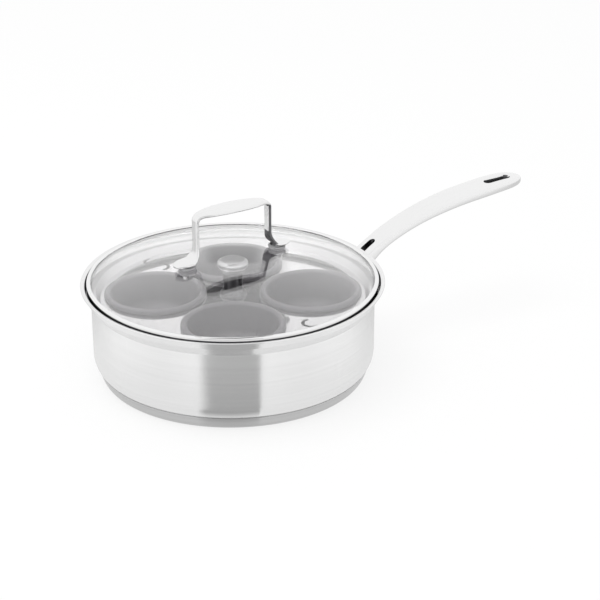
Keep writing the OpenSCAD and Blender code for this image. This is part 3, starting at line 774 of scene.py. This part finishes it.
def floorMaterial():
    made, tree, shader = newMaterial("paleFloor")
    place = tree.nodes.new("ShaderNodeTexCoord")
    grain = addNode(tree, "ShaderNodeTexNoise", Scale=30.0, Detail=2.0)
    tree.links.new(place.outputs["Object"], grain.inputs["Vector"])
    shader.inputs["Base Color"].default_value = (*studio["floorColor"], 1)
    tree.links.new(mathNode(tree, "ADD", mathNode(tree, "MULTIPLY", grain.outputs[0], 0.1), 0.8),
                   shader.inputs["Roughness"])
    shader.inputs["Specular IOR Level"].default_value = 0.1
    rays = tree.nodes.new("ShaderNodeLightPath")
    direct = mathNode(tree, "MAXIMUM", rays.outputs["Is Camera Ray"], rays.outputs["Is Transmission Ray"])
    share = mathNode(tree, "MAXIMUM", mathNode(tree, "MULTIPLY", direct, 1 - studio["shadowShare"]),
                     mathNode(tree, "MULTIPLY", rays.outputs["Is Glossy Ray"], 1 - studio["reflectedShadow"]))
    glow = addNode(tree, "ShaderNodeEmission", Strength=1.0)
    mixer = tree.nodes.new("ShaderNodeMixShader")
    tree.links.new(share, mixer.inputs[0])
    tree.links.new(shader.outputs[0], mixer.inputs[1])
    tree.links.new(glow.outputs[0], mixer.inputs[2])
    tree.links.new(mixer.outputs[0], tree.nodes["Material Output"].inputs["Surface"])
    return made


startClean()
bpy.ops.mesh.primitive_plane_add(size=studio["floorSize"], location=(0, 0, -0.0002))
floor = placed("studioFloor")
floor.data.materials.append(floorMaterial())


def reflectedCard(name, rows, tones, edges, throughGlass):
    # a card that only reflections see, or only rays that leave through the glass: rows of left and right points
    # in the camera's own bearing, a tone for each end, and how much of its width and height fades out at the
    # left, right, first and last edges
    startClean()
    bpy.ops.mesh.primitive_grid_add(x_subdivisions=1, y_subdivisions=len(rows) - 1, size=1)
    card = placed(name)
    for v in card.data.vertices:
        row = rows[round((v.co.y + 0.5) * (len(rows) - 1))]
        v.co = turnedPlace(*row[0 if v.co.x < 0 else 1])
    made, tree, shader = newMaterial(name)
    place = tree.nodes.new("ShaderNodeTexCoord")
    split = tree.nodes.new("ShaderNodeSeparateXYZ")
    tree.links.new(place.outputs["UV"], split.inputs[0])
    across, along = split.outputs[0], split.outputs[1]
    cover = 1.0
    for value, share, backward in ((across, edges[0], False), (across, edges[1], True),
                                   (along, edges[2], False), (along, edges[3], True)):
        if share:
            distance = mathNode(tree, "SUBTRACT", 1.0, value) if backward else value
            fade = addNode(tree, "ShaderNodeMapRange", {"interpolation_type": "SMOOTHSTEP"}, From_Max=share)
            tree.links.new(distance, fade.inputs["Value"])
            cover = mathNode(tree, "MULTIPLY", fade.outputs[0], cover)
    tone = mathNode(tree, "ADD", mathNode(tree, "MULTIPLY", along, tones[1] - tones[0]), tones[0])
    glow = tree.nodes.new("ShaderNodeEmission")
    tree.links.new(tone, glow.inputs["Color"])
    clear = tree.nodes.new("ShaderNodeBsdfTransparent")
    mixer = tree.nodes.new("ShaderNodeMixShader")
    tree.links.new(cover, mixer.inputs[0])
    tree.links.new(clear.outputs[0], mixer.inputs[1])
    tree.links.new(glow.outputs[0], mixer.inputs[2])
    tree.links.new(mixer.outputs[0], tree.nodes["Material Output"].inputs["Surface"])
    card.data.materials.append(made)
    card.visible_camera = False
    card.visible_diffuse = False
    card.visible_shadow = False
    card.visible_glossy = not throughGlass
    card.visible_transmission = throughGlass


# the photographer's dark side, mirrored as one upright stripe on the wall; a painted reflection of the lid
# handle's dark underside as a patch on the tray; painted shade on the floor under and before the pan, seen only
# in reflections
cards = {
    # painted shade: a darker floor under and before the pan that only reflections see
    "paintedFloorShadeCard": dict(rows=[((-0.19, -0.19, 0.0004), (0.19, -0.19, 0.0004)),
                                ((-0.19, 0.06, 0.0004), (0.19, 0.06, 0.0004))],
                          tones=(0.89, 0.85), edges=(0.3, 0.3, 0.3, 0.35)),
    "frontFloorCard": dict(rows=[((-0.023, -0.090, 0.0006), (0.019, -0.090, 0.0006)),
                                 ((-0.033, -0.116, 0.0006), (0.029, -0.117, 0.0006)),
                                 ((-0.0825, -0.213, 0.0006), (0.0735, -0.217, 0.0006)),
                                 ((-0.536, -1.1, 0.0006), (0.467, -1.1, 0.0006))],
                           tones=(0.26, 0.66), edges=(0.16, 0, 0.3, 0)),
    "frontWallCard": dict(rows=[((-0.536, -1.1, 0), (0.467, -1.1, 0)),
                                ((-0.536, -1.1, 1.5), (0.467, -1.1, 1.5))],
                          tones=(0.66, 0.66), edges=(0.16, 0, 0, 0)),
    # painted reflection: a dark patch seen by rays leaving through the glass, standing in for the lid handle's
    # dark underside mirrored in the tray
    "paintedGripReflectionCard": dict(rows=[((-0.075, 0.4, 0.17), (0.045, 0.4, 0.17)),
                           ((-0.075, 0.4, 0.32), (0.045, 0.4, 0.32))],
                     tones=(0.08, 0.08), edges=(0.25, 0.25, 0.2, 0.2), throughGlass=True),
    "backFloorCard": dict(rows=[((-0.7, -0.06, 0.0006), (0.7, -0.06, 0.0006)),
                                ((-0.8, 0.12, 0.0006), (0.8, 0.12, 0.0006)),
                                ((-0.9, 1.4, 0.0006), (0.9, 1.4, 0.0006))],
                          tones=(0.75, 0.65), edges=(0.1, 0.1, 0.5, 0.2)),
}
for name, card in cards.items():
    reflectedCard(name, card["rows"], card["tones"], card["edges"], card.get("throughGlass", False))

world = bpy.data.worlds.new("studioSky")
bpy.context.scene.world = world
world.use_nodes = True
sky = world.node_tree
background = sky.nodes["Background"]
background.inputs["Color"].default_value = (1, 1, 1, 1)
rays = sky.nodes.new("ShaderNodeLightPath")
seen = mathNode(sky, "MAXIMUM", rays.outputs["Is Camera Ray"], rays.outputs["Is Glossy Ray"])
strength = mathNode(sky, "ADD", mathNode(sky, "MULTIPLY", seen, studio["skyForEye"] - studio["skyForLight"]),
                    studio["skyForLight"])
strength = mathNode(sky, "ADD", strength, mathNode(sky, "MULTIPLY", rays.outputs["Is Transmission Ray"],
                                                   studio["skyUnderGlass"] - studio["skyForLight"]))
sky.links.new(strength, background.inputs["Strength"])


def softLamp(name, place, size, power):
    lamp = bpy.data.lights.new(name, "AREA")
    lamp.shape = "DISK"
    lamp.size = size
    lamp.energy = power
    holder = bpy.data.objects.new(name, lamp)
    bpy.context.collection.objects.link(holder)
    holder.location = turnedPlace(*place)
    aim = Vector((0, 0, 0.05)) - holder.location
    holder.rotation_euler = aim.to_track_quat("-Z", "Y").to_euler()
    holder.visible_glossy = False  # less round glare on the glass


softLamp("overheadLamp", (-0.5, -0.2, 1.6), 1.2, studio["lampPower"])

# camera: the photograph's angle, about 1.3 m from the pan

cameraShape = {"place": (0.04769, -1.17979, 0.58390), "elevation": 24.21, "lens": 108.5}
camera = bpy.data.objects.new("photoCamera", bpy.data.cameras.new("photoCamera"))
bpy.context.collection.objects.link(camera)
camera.data.sensor_width = 36
camera.data.lens = cameraShape["lens"]
camera.location = turnedPlace(*cameraShape["place"])
camera.rotation_euler = (math.radians(90 - cameraShape["elevation"]), 0, math.radians(-studio["turn"]))
bpy.context.scene.camera = camera
bpy.context.scene.view_settings.view_transform = "Standard"
print("studio and camera set")
